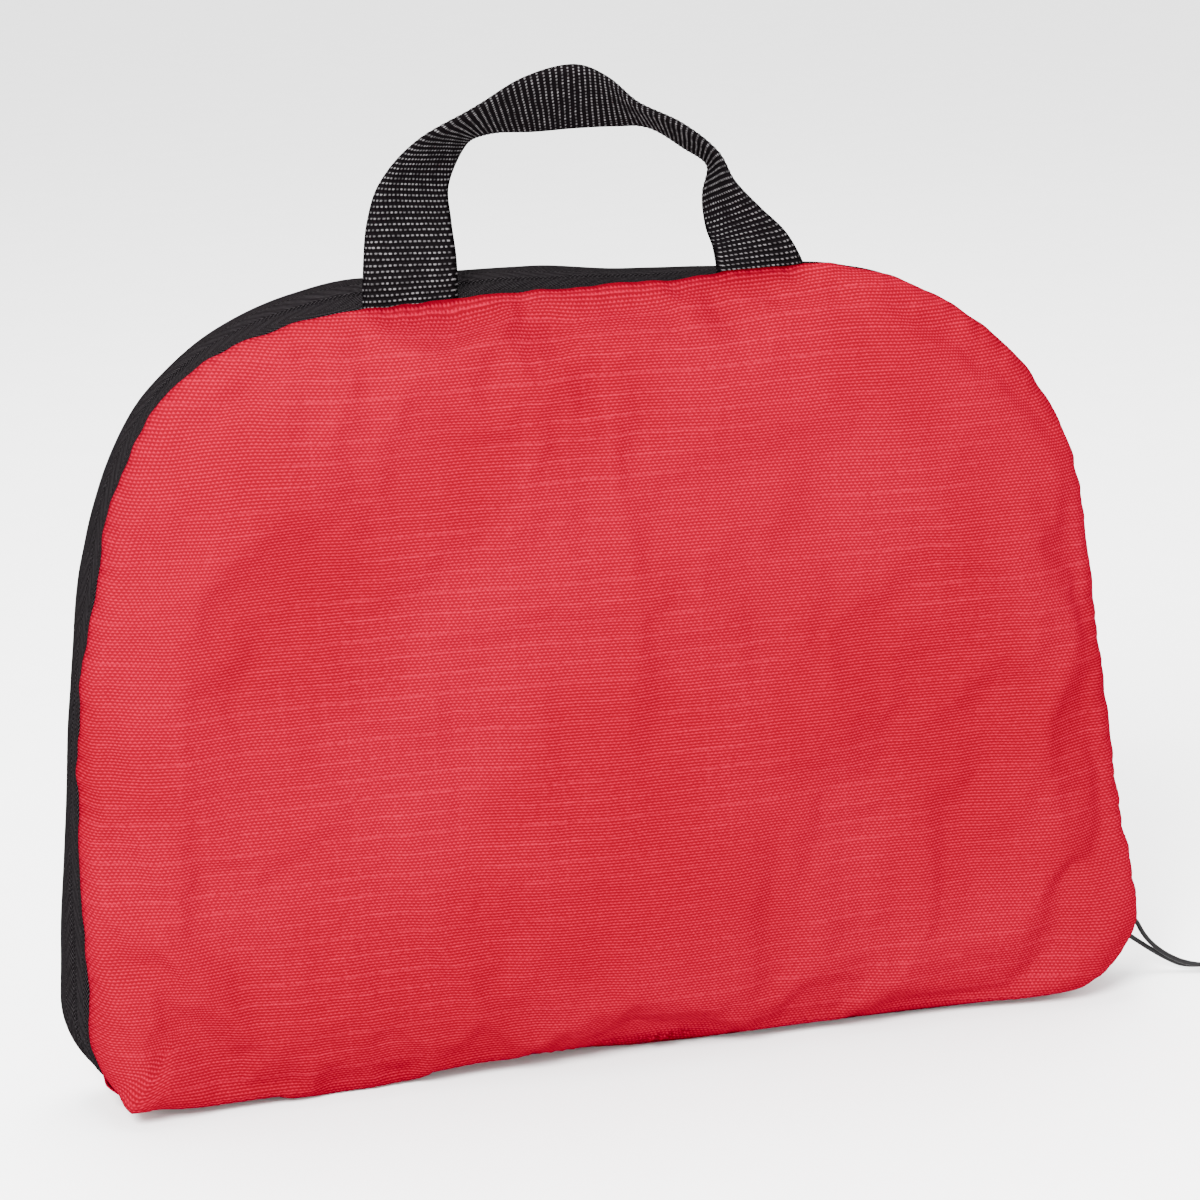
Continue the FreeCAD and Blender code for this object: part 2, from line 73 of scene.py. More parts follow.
class Graph:
    """Builds a material's nodes: each call adds one node and returns its first output, or the named one."""

    def __init__(self, name):
        self.material = bpy.data.materials.new(name)
        self.material.use_nodes = True
        self.tree = self.material.node_tree
        self.shader = self.tree.nodes["Principled BSDF"]

    def wire(self, socket, value):
        if isinstance(value, bpy.types.NodeSocket):
            self.tree.links.new(value, socket)
        elif isinstance(value, tuple) and len(value) == 3 and socket.type == "RGBA":
            socket.default_value = (*value, 1)
        else:
            socket.default_value = value

    def add(self, kind, inputs=(), output=0, **settings):
        node = self.tree.nodes.new("ShaderNode" + kind)
        for key, value in settings.items():
            setattr(node, key, value)
        for key, value in (inputs.items() if isinstance(inputs, dict) else enumerate(inputs)):
            self.wire(node.inputs[key], value)
        return node.outputs[output]

    def math(self, operation, *values):
        return self.add("Math", values, operation=operation)

    def mix(self, share, first, second):
        node = self.tree.nodes.new("ShaderNodeMix")
        node.data_type = "RGBA"
        for index, value in ((0, share), (6, first), (7, second)):
            self.wire(node.inputs[index], value)
        return node.outputs[2]

    def noise(self, vector, scale, detail=2.0):
        return self.add("TexNoise", {"Vector": vector, "Scale": scale, "Detail": detail})

    def ramp(self, value, low, high):
        """0 below low, 1 above high, smooth between."""
        ends = {"Value": value, "From Min": low, "From Max": high}
        return self.add("MapRange", ends, interpolation_type="SMOOTHSTEP")

    def flat(self):
        """The cloth's own flat coordinates, in metres."""
        node = self.tree.nodes.new("ShaderNodeSeparateXYZ")
        self.wire(node.inputs[0], self.add("UVMap", uv_map="flat"))
        return node.outputs[0], node.outputs[1]

    def wave(self, value, pitch):
        """A sine of a length, one period each pitch."""
        return self.math("SINE", self.math("MULTIPLY", value, 2 * math.pi / pitch))

    def finish(self, colour, height=None, depth=0.0002, strength=1.0, **values):
        self.wire(self.shader.inputs["Base Color"], colour)
        for key, value in values.items():
            self.wire(self.shader.inputs[key.replace("_", " ")], value)
        if height is not None:
            bump = self.add("Bump", {"Height": height, "Distance": depth, "Strength": strength})
            self.wire(self.shader.inputs["Normal"], bump)
        return self.material


def linear(*rgb):
    """An sRGB colour, 0 to 255, as linear values."""
    return tuple((c / 255 / 12.92) if c <= 10 else ((c / 255 + 0.055) / 1.055) ** 2.4 for c in rgb)


def ripstop():
    """Red plain weave: staggered bright knots, thin rows, a thicker thread every few millimetres, and broad
    patches of painted sheen.
    """
    g = Graph("red_ripstop")
    u, v = g.flat()
    place = g.add("TexCoord", output="Object")
    drift = g.math("MULTIPLY", g.noise(place, 90.0), 0.5 * MM)
    u = g.math("ADD", u, drift)
    v = g.math("ADD", v, drift)
    knots = g.math("MULTIPLY", g.wave(u, 1.0 * MM), g.wave(v, 1.56 * MM))
    rows = g.wave(v, 0.78 * MM)
    fleck = g.noise(place, 1300.0, 1.0)
    # painted sheen: broad soft patches where the red and its knots are lighter, standing in for light caught
    # by the cloth
    painted_sheen = g.ramp(g.noise(place, 16.0, 2.0), 0.35, 0.65)
    knots = g.math("MULTIPLY", knots, g.math("ADD", g.math("MULTIPLY", painted_sheen, 0.4), 0.4))
    weave = g.math("ADD", knots, g.math("MULTIPLY", rows, 0.6))
    shine = g.ramp(g.math("ADD", weave, g.math("MULTIPLY", fleck, 0.8)), 0.1, 1.5)
    lines = []
    for value, gap, share in ((u, 5.2 * MM, 0.25), (v, 5.0 * MM, 1.0)):
        beside = g.math("PINGPONG", value, gap / 2)
        line = g.math("SUBTRACT", 1.0, g.ramp(beside, 0.1 * MM, 0.4 * MM))
        lines.append(g.math("MULTIPLY", line, share))
    patches = g.ramp(g.noise(place, 30.0, 3.0), 0.3, 0.65)
    patches = g.math("MULTIPLY", patches, g.ramp(fleck, 0.25, 0.6))
    lines = g.math("MULTIPLY", g.math("MAXIMUM", *lines), patches)
    shine = g.math("ADD", shine, g.math("MULTIPLY", lines, 0.35))
    # mixes the painted sheen patches into the red's lightness
    shine = g.math("ADD", g.math("MULTIPLY", shine, 0.88), g.math("MULTIPLY", painted_sheen, 0.12))
    colour = g.mix(shine, (0.092, 0.0, 0.0035), (0.225, 0.0, 0.015))
    height = g.math("ADD", weave, g.math("MULTIPLY", lines, 0.8))
    return g.finish(colour, height, 0.0001, 0.45, Roughness=0.6, Specular_IOR_Level=0.0)


def herringbone(name, width, tint):
    """Black zip tape: twill that turns at the middle of its width."""
    g = Graph(name)
    u, v = g.flat()
    place = g.add("TexCoord", output="Object")
    fold = g.math("PINGPONG", v, width / 2)
    slope = g.math("ADD", u, g.math("MULTIPLY", fold, 1.7))
    drift = g.math("MULTIPLY", g.noise(place, 300.0), 0.5 * MM)
    ribs = g.wave(g.math("ADD", slope, drift), 1.15 * MM)
    threads = g.wave(g.math("SUBTRACT", g.math("MULTIPLY", u, 0.6), v), 0.55 * MM)
    fleck = g.noise(place, 1400.0, 1.0)
    height = g.math("ADD", ribs, g.math("MULTIPLY", threads, 0.35))
    shine = g.math("MULTIPLY", g.ramp(height, 0.1, 1.25), g.math("ADD", fleck, 0.3))
    colour = g.mix(shine, tint, (0.036, 0.032, 0.034))
    return g.finish(colour, height, 0.0003, 1.0, Roughness=0.8, Specular_IOR_Level=0.0)


def webbing(name, rib, thread, dark, bright, specular=0.0):
    """Woven strap: raised ribs across its width, each a row of short stitches with painted highlights."""
    g = Graph(name)
    u, v = g.flat()
    place = g.add("TexCoord", output="Object")
    drift = g.math("MULTIPLY", g.noise(place, 160.0), 0.4 * MM)
    along = g.math("ADD", u, drift)
    across = g.math("ADD", v, drift)
    ribs = g.math("ADD", g.math("MULTIPLY", g.wave(along, rib), 0.5), 0.5)
    row = g.math("FLOOR", g.math("DIVIDE", along, rib))
    stagger = g.math("MULTIPLY", row, thread / 2)
    dashes = g.math("ADD", g.math("MULTIPLY", g.wave(g.math("ADD", across, stagger), thread), 0.5), 0.5)
    fleck = g.noise(place, 1100.0, 1.0)
    height = g.math("ADD", ribs, g.math("MULTIPLY", dashes, 0.45))
    # painted highlights: stitches on the rib crests are lighter, more so in some patches than others,
    # standing in for glints off the threads
    sparkle = g.math("MULTIPLY", g.ramp(ribs, 0.62, 0.98), g.ramp(g.math("ADD", dashes, fleck), 0.6, 1.4))
    highlight_patches = g.ramp(g.noise(place, 420.0, 2.0), 0.32, 0.68)
    sparkle = g.math("MULTIPLY", sparkle, g.math("ADD", g.math("MULTIPLY", highlight_patches, 0.75), 0.25))
    colour = g.mix(sparkle, dark, bright)
    return g.finish(colour, height, 0.0003, 0.8, Roughness=0.6, Specular_IOR_Level=specular)


def woven(name, pitch, low, high, roughness=0.7, sheen=0.2, specular=0.3):
    """A plain weave in the cloth's own coordinates."""
    g = Graph(name)
    u, v = g.flat()
    place = g.add("TexCoord", output="Object")
    diagonals = [g.wave(g.math(way, u, v), 2 * pitch) for way in ("ADD", "SUBTRACT")]
    weave = g.math("MULTIPLY", *diagonals)
    cloud = g.noise(place, 40.0, 3.0)
    share = g.ramp(g.math("ADD", weave, cloud), -0.6, 1.6)
    return g.finish(g.mix(share, low, high), weave, 0.0001, 0.5, Roughness=roughness,
                    Sheen_Weight=sheen, Specular_IOR_Level=specular)


def moulded(name, colour, roughness, grain=900.0, metallic=0.0, depth=0.00003, specular=0.5):
    """A moulded or cast surface with fine grain and small scuffs."""
    g = Graph(name)
    place = g.add("TexCoord", output="Object")
    scuff = g.ramp(g.noise(place, 220.0, 4.0), 0.45, 0.75)
    rough = g.math("ADD", g.math("MULTIPLY", scuff, 0.18), roughness)
    lighter = tuple(min(1.0, c * 1.6 + 0.01) for c in colour)
    scuffed = g.mix(g.math("MULTIPLY", scuff, 0.35), colour, lighter)
    return g.finish(scuffed, g.noise(place, grain, 2.0), depth, 0.4,
                    Roughness=rough, Metallic=metallic, Specular_IOR_Level=specular)


BLACK = (0.0024, 0.0019, 0.0022)
RED = ripstop()
TAPE = herringbone("zip_tape", 8.6 * MM, BLACK)
STRAP = webbing("webbing", 1.42 * MM, 1.25 * MM, BLACK, (0.105, 0.10, 0.103))
BINDING = woven("binding", 0.5 * MM, BLACK, (0.012, 0.011, 0.011), sheen=0.0, specular=0.0)
GLASS = woven("glass_cloth", 0.9 * MM, linear(158, 156, 149), linear(192, 191, 186), 0.5, 0.1)
WHITE_TAPE = webbing("white_tape", 1.3 * MM, 1.1 * MM, linear(136, 134, 129), linear(196, 196, 193), 0.3)
NYLON = moulded("zip_coil", linear(16, 16, 17), 0.4, specular=0.12)
SLIDER = moulded("slider_metal", linear(34, 33, 34), 0.38, metallic=0.85)
STEEL = moulded("zip_metal", linear(120, 118, 116), 0.35, metallic=1.0)
CORD = moulded("pull_cord", linear(12, 11, 12), 0.35, 1500.0, specular=0.12)
GRIP = moulded("grip", linear(16, 16, 17), 0.5, 700.0, depth=0.00008, specular=0.15)
GREY_THREAD = moulded("grey_thread", linear(96, 94, 92), 0.6, 2000.0, specular=0.2)


# ---------------------------------------------------------------- mesh helpers

def finish_mesh(name, vertices, faces, material, uvs=None, smooth=True):
    """A mesh object; uvs holds one flat coordinate for each vertex, in metres."""
    mesh = bpy.data.meshes.new(name)
    mesh.from_pydata([tuple(map(float, v)) for v in vertices], [], faces)
    mesh.materials.append(material)
    if uvs is not None:
        layer = mesh.uv_layers.new(name="flat")
        loops = np.zeros(len(mesh.loops), np.int32)
        mesh.loops.foreach_get("vertex_index", loops)
        layer.data.foreach_set("uv", np.asarray(uvs, np.float32)[loops].ravel())
    mesh.polygons.foreach_set("use_smooth", [smooth] * len(mesh.polygons))
    mesh.update()
    made = bpy.data.objects.new(name, mesh)
    bpy.context.scene.collection.objects.link(made)
    return made


def ring_faces(rings, sides):
    """Quads that join a row of rings, and a cap on each end."""
    faces = []
    for n in range(rings - 1):
        for s in range(sides):
            a, b = n * sides + s, n * sides + (s + 1) % sides
            faces.append((a, b, b + sides, a + sides))
    faces.append(tuple(range(sides - 1, -1, -1)))
    faces.append(tuple((rings - 1) * sides + s for s in range(sides)))
    return faces


def grid_faces(rows, columns):
    """Quads of an open grid of points."""
    corners = [n * columns + k for n in range(rows - 1) for k in range(columns - 1)]
    return [(a, a + 1, a + columns + 1, a + columns) for a in corners]


def recalculate(made):
    """Turns every face outwards."""
    work = bmesh.new()
    work.from_mesh(made.data)
    bmesh.ops.recalc_face_normals(work, faces=work.faces)
    work.to_mesh(made.data)
    work.free()


def apply_modifiers(made):
    """Freezes the object's modifiers into its mesh."""
    graph = bpy.context.evaluated_depsgraph_get()
    mesh = bpy.data.meshes.new_from_object(made.evaluated_get(graph))
    made.modifiers.clear()
    old = made.data
    made.data = mesh
    bpy.data.meshes.remove(old)
    return made


def replace(made, node, body=None):
    """Shows a piece instead of its plain solid, hung on a body when one is given, else fixed where it stands.
    """
    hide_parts(node)
    if body:
        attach(made, body)
    else:
        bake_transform(made)


def wobble(x, y, z, scale):
    """Smooth noise from -1 to 1 that is the same in every run."""
    return noise.noise(Vector((x * scale, y * scale, z * scale)))


def outline(step=1.5 * MM):
    """The pouch's outline from the bottom's middle up the left side and round: centres, radii and normals."""
    corner = np.array([HALF_WIDTH - CORNER_RADIUS, CORNER_RADIUS])
    shoulder = np.array([SHOULDER_ACROSS, HEIGHT - SHOULDER_RADIUS])
    gap = corner - shoulder
    bigger = SHOULDER_RADIUS - CORNER_RADIUS
    lean = math.atan2(gap[1], gap[0]) + math.acos(bigger / np.linalg.norm(gap))
    rows = []

    def line(start, end, start_radius, end_radius, angle):
        count = max(2, round(np.linalg.norm(end - start) / step))
        for k in range(count):
            t = k / count
            rows.append((*(start + (end - start) * t), start_radius + (end_radius - start_radius) * t, angle))

    def arc(centre, radius, start, end):
        count = max(2, round(radius * (end - start) / step))
        for k in range(count):
            rows.append((*centre, radius, start + (end - start) * k / count))

    down = -math.pi / 2
    line(np.array([0, corner[1]]), corner, CORNER_RADIUS, CORNER_RADIUS, down)
    arc(corner, CORNER_RADIUS, down, lean)
    line(corner, shoulder, CORNER_RADIUS, SHOULDER_RADIUS, lean)
    arc(shoulder, SHOULDER_RADIUS, lean, -down)
    line(shoulder, np.array([0, shoulder[1]]), SHOULDER_RADIUS, SHOULDER_RADIUS, -down)
    rows.append((0, shoulder[1], SHOULDER_RADIUS, -down))
    right = np.array(rows)
    left = right.copy()
    left[:, 0] *= -1
    left[:, 3] = math.pi - left[:, 3]
    table = np.vstack([left, right[-2:0:-1]])
    return table[:, :2], table[:, 2], np.column_stack([np.cos(table[:, 3]), np.sin(table[:, 3])])


CENTRES, RADII, NORMALS = outline()
RING = CENTRES + NORMALS * RADII[:, None] + np.array([MIDDLE_X, 0])
STEPS = np.linalg.norm(np.diff(np.vstack([RING, RING[:1]]), axis=0), axis=1)
ALONG = np.concatenate([[0], np.cumsum(STEPS)[:-1]])


# how far the sewn cloth strays outwards from the even outline, in millimetres: the distance along the outline
# from the bottom's middle, up the left side, then the stray of the front seam and of the back seam. These are
# measurements, thinned out and evened out
STRAY = [
    (0, 0, 0), (116, 0, 0), (140, -1.5, 1.5), (156, -3.9, 2.2), (171, -2.7, 2.7), (187, -0.7, 2.9),
    (203, 0.8, 2.5), (227, 1.7, 2.7), (243, 1.7, 2.6), (260, -0.2, 1.8), (274, -2.2, 0.6), (287, -0.6, 1.0),
    (300, 0.0, 2.2), (313, 1.9, 3.2), (320, 2.4, 3.4), (333, 1.8, 3.6), (346, 0.1, 3.7), (359, -0.9, 3.6),
    (372, -1.1, 4.0), (388, -0.7, 4.2), (404, 0.0, 4.2), (420, 0.0, 3.3), (439, -0.3, 1.4), (455, -0.3, 0.1),
    (471, 0.9, -0.6), (486, 1.4, -0.9), (500, 0.7, -0.9), (513, -0.2, -0.5), (532, -0.5, -0.4),
    (552, -0.5, -0.4), (570, 0, 0), (857, 0, 0),
]


def smooth_stray(column):
    """One column of the strays at each outline row, rounded off, in metres."""
    values = np.interp(ALONG / MM, [row[0] for row in STRAY], [row[column] for row in STRAY]) * MM
    for _ in range(6):
        values = (np.roll(values, 1) + 2 * values + np.roll(values, -1)) / 4
    return values


FRONT_STRAY, BACK_STRAY = smooth_stray(1), smooth_stray(2)


def stray(i, depth):
    """The stray at an outline row and a depth between the two seams."""
    share = min(1.0, max(0.0, (depth - SEAM_FRONT) / (SEAM_BACK - SEAM_FRONT)))
    return FRONT_STRAY[i] * (1 - share) + BACK_STRAY[i] * share


def rows_between(left_foot, right_foot):
    """Indices of the outline rows from one height on the left side, over the top, to another on the right."""
    top = int(np.argmax(RING[:, 1] - np.abs(RING[:, 0] - MIDDLE_X) * 1e-3))
    left = [k for k in range(top) if RING[k, 1] >= left_foot and RING[k, 0] < MIDDLE_X]
    right = [k for k in range(top, len(RING)) if RING[k, 1] >= right_foot and RING[k, 0] >= MIDDLE_X]
    return left + right


def bottom_lift(x):
    """How far the bottom seams stand off the floor between the corners, from the same measurements."""
    places = [-0.09, -0.07, -0.052, -0.042, -0.012, 0.0, 0.02, 0.05, 0.07, 0.09]
    lifts = [0.3, 0.5, 1.6, 2.1, 2.0, 1.0, 0.5, 0.6, 0.4, 0.0]
    return np.interp(x, places, np.array(lifts) * MM)


def sweep(name, rows, corners, material, wave):
    """A closed section swept along the outline. Each corner is an inset, a depth and a flat coordinate."""
    vertices, uvs = [], []
    for i in rows:
        # the slider's straight run on the right side stays even, and lies a little further in
        calm = np.clip((RING[i, 1] - 140 * MM) / (20 * MM), 0, 1) if RING[i, 0] > MIDDLE_X else 1.0
        for inset, depth, across in corners:
            bend = calm * (wave * wobble(RING[i, 0], depth * 3, RING[i, 1], 55.0) + SLIDER_ROOM) - SLIDER_ROOM
            bend += stray(i, depth)
            x, z = CENTRES[i] + NORMALS[i] * (RADII[i] - inset + bend)
            vertices.append((x + MIDDLE_X, depth, z))
            uvs.append((ALONG[i], across))
    made = finish_mesh(name, vertices, ring_faces(len(rows), len(corners)), material, uvs)
    recalculate(made)
    return made


# ---------------------------------------------------------------- camera and light

def camera():
    """Looks at the pouch from its left and a little above, slightly rolled."""
    yaw, pitch, roll = (math.radians(a) for a in (-12.80, 14.366, -2.7156))
    target = Vector((MIDDLE_X + 1.243 * MM, 3.5 * MM, 118.9 * MM))
    distance = 0.9
    away = Vector((math.sin(yaw) * math.cos(pitch), -math.cos(yaw) * math.cos(pitch), math.sin(pitch)))
    level = Vector((math.cos(yaw), math.sin(yaw), 0))
    up = away.cross(level)
    right = level * math.cos(roll) + up * math.sin(roll)
    top = up * math.cos(roll) - level * math.sin(roll)
    data = bpy.data.cameras.new("camera")
    data.lens = 105.83
    data.sensor_width = 36
    made = bpy.data.objects.new("camera", data)
    bpy.context.scene.collection.objects.link(made)
    turn = Matrix((right, top, away)).transposed().to_4x4()
    made.matrix_world = Matrix.Translation(target + away * distance) @ turn
    bpy.context.scene.camera = made


def light(name, place, target, size, power):
    """A round soft light that points at the target."""
    data = bpy.data.lights.new(name, "AREA")
    data.shape = "DISK"
    data.size = size
    data.energy = power
    made = bpy.data.objects.new(name, data)
    bpy.context.scene.collection.objects.link(made)
    made.location = place
    made.rotation_euler = (Vector(target) - Vector(place)).to_track_quat("-Z", "Y").to_euler()


def studio():
    """A white world, three soft lights and a pale floor that fades into it."""
    world = bpy.data.worlds.new("world")
    bpy.context.scene.world = world
    world.use_nodes = True
    world.node_tree.nodes["Background"].inputs[0].default_value = (1, 1, 1, 1)
    world.node_tree.nodes["Background"].inputs[1].default_value = 2.8
    light("key", (-0.65, -1.0, 1.0), (0, 0, 0.1), 0.6, 90)
    light("fill", (0.9, -0.9, 0.5), (0, 0, 0.1), 1.0, 10)
    light("top", (0.0, 0.3, 1.3), (0, 0.1, 0.1), 1.0, 36)
    g = Graph("floor")
    place = g.add("TexCoord", output="Object")
    speck = g.ramp(g.noise(place, 30.0, 3.0), 0.2, 0.8)
    g.finish(g.mix(speck, (0.93, 0.93, 0.93), (0.95, 0.95, 0.95)), Roughness=0.9)
    rings, spokes, reach = 12, 64, 6.0
    vertices = [(0, 0, 0)]
    for r in range(1, rings + 1):
        for s in range(spokes):
            angle = 2 * math.pi * s / spokes
            radius = reach * (r / rings) ** 2
            vertices.append((radius * math.cos(angle), radius * math.sin(angle), -0.1 * MM))
    faces = [(0, 1 + s, 1 + (s + 1) % spokes) for s in range(spokes)]
    for r in range(rings - 1):
        for s in range(spokes):
            a, b = 1 + r * spokes + s, 1 + r * spokes + (s + 1) % spokes
            faces.append((a, a + spokes, b + spokes, b))
    finish_mesh("floor", vertices, faces, g.material)


camera()
studio()


# ---------------------------------------------------------------- cloth panels

def edge_distance(points):
    """How far each X and Z point lies inside the outline, and the nearest outline row."""
    gaps = np.full(len(points), 1e9)
    nearest = np.zeros(len(points), int)
    for start in range(0, len(points), 1000):
        part = points[start:start + 1000]
        far = np.linalg.norm(part[:, None] - RING[None], axis=2)
        nearest[start:start + 1000] = far.argmin(1)
        gaps[start:start + 1000] = far.min(1)
    return gaps, nearest


def flat_panel(spacing):
    """Triangles that fill the outline: its own rows, then staggered points inside."""
    edge = [Vector(p) for p in RING]
    count = len(edge)
    inner = []
    z, odd = spacing / 2, False
    while z < HEIGHT:
        x = MIDDLE_X - HALF_WIDTH + (spacing / 2 if odd else 0)
        while x < MIDDLE_X + HALF_WIDTH:
            inner.append((x, z))
            x += spacing
        z += spacing * math.sqrt(3) / 2
        odd = not odd
    inner = np.array(inner)
    gaps, nearest = edge_distance(inner)
    toward = inner - RING[nearest]
    inside = (gaps > spacing * 0.55) & ((toward * NORMALS[nearest]).sum(1) < 0)
    points = edge + [Vector(p) for p in inner[inside]]
    ring_edges = [(k, (k + 1) % count) for k in range(count)]
    found = geometry.delaunay_2d_cdt(points, ring_edges, [], 1, 1e-7)
    return np.array([tuple(p) for p in found[0]]), [tuple(f) for f in found[2]]


def puff(gaps, belly, reach):
    """Depth of the cloth at a distance inside the seam: a quarter ellipse that runs into a flat middle."""
    t = np.clip(gaps / reach, 0, 1)
    return belly * np.sqrt(1 - (1 - t) ** 2)


def reach_at(nearest, low, high):
    """How far in the cloth takes to reach its full depth: less at the two bottom corners."""
    across = np.abs(RING[nearest, 0] - MIDDLE_X)
    corner = np.exp(-((across - 126 * MM) / (22 * MM)) ** 2) * (RING[nearest, 1] < 40 * MM)
    return high - (high - low) * np.clip(corner, 0, 1)


def simulate(made, pinned, pressure, grow):
    """Inflates the cloth from its pinned seam and keeps the result, with no point moved far."""
    frames, cap = 20, 6 * MM
    start = np.array([v.co for v in made.data.vertices])
    group = made.vertex_groups.new(name="seam")
    group.add([int(k) for k in pinned], 1.0, "REPLACE")
    cloth = made.modifiers.new("cloth", "CLOTH")
    settings = cloth.settings
    settings.quality = 6
    settings.mass = 0.1
    settings.tension_stiffness = 25
    settings.compression_stiffness = 25
    settings.shear_stiffness = 12
    settings.bending_stiffness = 0.08
    settings.vertex_group_mass = "seam"
    settings.use_pressure = True
    settings.uniform_pressure_force = pressure
    settings.shrink_min = grow
    settings.effector_weights.gravity = 0
    cloth.collision_settings.use_collision = False
    scene = bpy.context.scene
    for number in range(1, frames + 1):
        scene.frame_set(number)
    graph = bpy.context.evaluated_depsgraph_get()
    end = np.array([v.co for v in made.evaluated_get(graph).data.vertices])
    made.modifiers.clear()
    scene.frame_set(1)
    move = end - start
    far = np.linalg.norm(move, axis=1, keepdims=True)
    move *= np.minimum(1, cap / np.maximum(far, 1e-9))
    made.data.vertices.foreach_set("co", (start + move).astype(np.float32).ravel())
    made.data.update()
    return made


def seam_waves(i):
    """Small puckers of the cloth's edge at an outline row."""
    x, z = RING[i]
    return MM * (0.5 * wobble(x, 0.1, z, 75.0) + 0.55 * wobble(x, 0.4, z, 190.0))


def cloth_panel(name, side, belly, reach, pressure, grow, seed):
    """One cloth face of the pouch: side -1 is the front. It starts puffed, and the simulation slackens it."""
    seam, strays = (SEAM_FRONT, FRONT_STRAY) if side < 0 else (SEAM_BACK, BACK_STRAY)
    points, faces = flat_panel(3.0 * MM)
    gaps, nearest = edge_distance(points)
    on_seam = gaps < 1e-6
    depth = puff(gaps, belly, reach_at(nearest, 12 * MM, reach))
    shift = strays[nearest] * np.exp(-(gaps / (30 * MM)) ** 2)
    moved = points + NORMALS[nearest] * shift[:, None]
    vertices = np.column_stack([moved[:, 0], seam + side * depth, moved[:, 1]])
    for k in range(len(vertices)):
        x, _, z = vertices[k]
        vertices[k, 1] += side * 0.5 * MM * wobble(x, seed, z, 60.0) * min(1, gaps[k] / (8 * MM))
        low = max(0.0, 1 - z / (40 * MM))
        vertices[k, 2] += bottom_lift(x) * low ** 2
        if on_seam[k] and z > 6 * MM:
            # the front's edge laps a little over the tape, and the back's stays behind it
            bend = seam_waves(nearest[k]) + 0.25 * MM if side < 0 else -1.1 * MM
            vertices[k, 0] += NORMALS[nearest[k], 0] * bend
            vertices[k, 2] += NORMALS[nearest[k], 1] * bend
            vertices[k, 1] += 0.5 * bend
    if side > 0:
        faces = [f[::-1] for f in faces]
    made = finish_mesh(name, vertices, faces, RED, points - np.array([MIDDLE_X, 0]))
    simulate(made, np.nonzero(on_seam)[0], pressure, grow)
    return made


def refine(made):
    """One smooth subdivision."""
    smooth = made.modifiers.new("smooth", "SUBSURF")
    smooth.levels = smooth.render_levels = 1
    return apply_modifiers(made)


def thicken(made, thickness):
    """A real cloth thickness, to the inside."""
    solid = made.modifiers.new("solid", "SOLIDIFY")
    solid.thickness = thickness
    solid.offset = -1
    return apply_modifiers(made)


def blanket_thinning(nearest_end):
    """Share of the blanket's full depth at a distance from its nearest end."""
    t = min(1.0, max(0.0, nearest_end / (20 * MM)))
    return 0.36 + 0.64 * math.sqrt(1 - (1 - t) ** 2)


def blanket_front(x, z):
    """How far back the front cloth may lie without touching the blanket or its tapes."""
    low, high = BLANKET_LOW, BLANKET_HIGH
    nearest_end = min(z - low.z, high.z - z, x - low.x, high.x - x)
    if nearest_end < -2 * MM:
        return SEAM_BACK
    half = (high.y - low.y) / 2 + 1.4 * MM
    return (high.y + low.y) / 2 - half * blanket_thinning(nearest_end) - 1.2 * MM


# each pulled-out corner: the middle of its curve across, how far it stands out, its angle and its spread
EARS = [
    (CORNER_RADIUS - HALF_WIDTH, 6.0 * MM, -124.0, 11.0),
    (HALF_WIDTH - CORNER_RADIUS, 2.4 * MM, -20.0, 26.0),
]
# each bulge: across, up, spread up and down, and how far it stands out
BULGES = [(HALF_WIDTH - 3 * MM, 33 * MM, 15 * MM, 1.8 * MM)]
# each soft fold: start at the seam, end, width, depth in millimetres; X from the middle, Z up
FOLDS = [
    ((-16, 200), (9, 160), 6.5, 3.0),
    ((-17, 200), (-26, 184), 3.0, 1.8),
    ((-4, 200), (-8, 180), 5.0, -1.4),
    ((32, 200), (36, 176), 5.0, 1.6),
    ((-57, 197), (-61, 164), 4.5, 1.7),
    ((-72, 192), (-75, 162), 4.5, 1.7),
    ((-88, 182), (-88, 158), 4.0, 1.3),
    ((62, 198), (70, 176), 6.0, 1.4),
    ((-128, 120), (-120, 40), 5.0, 1.6),
]


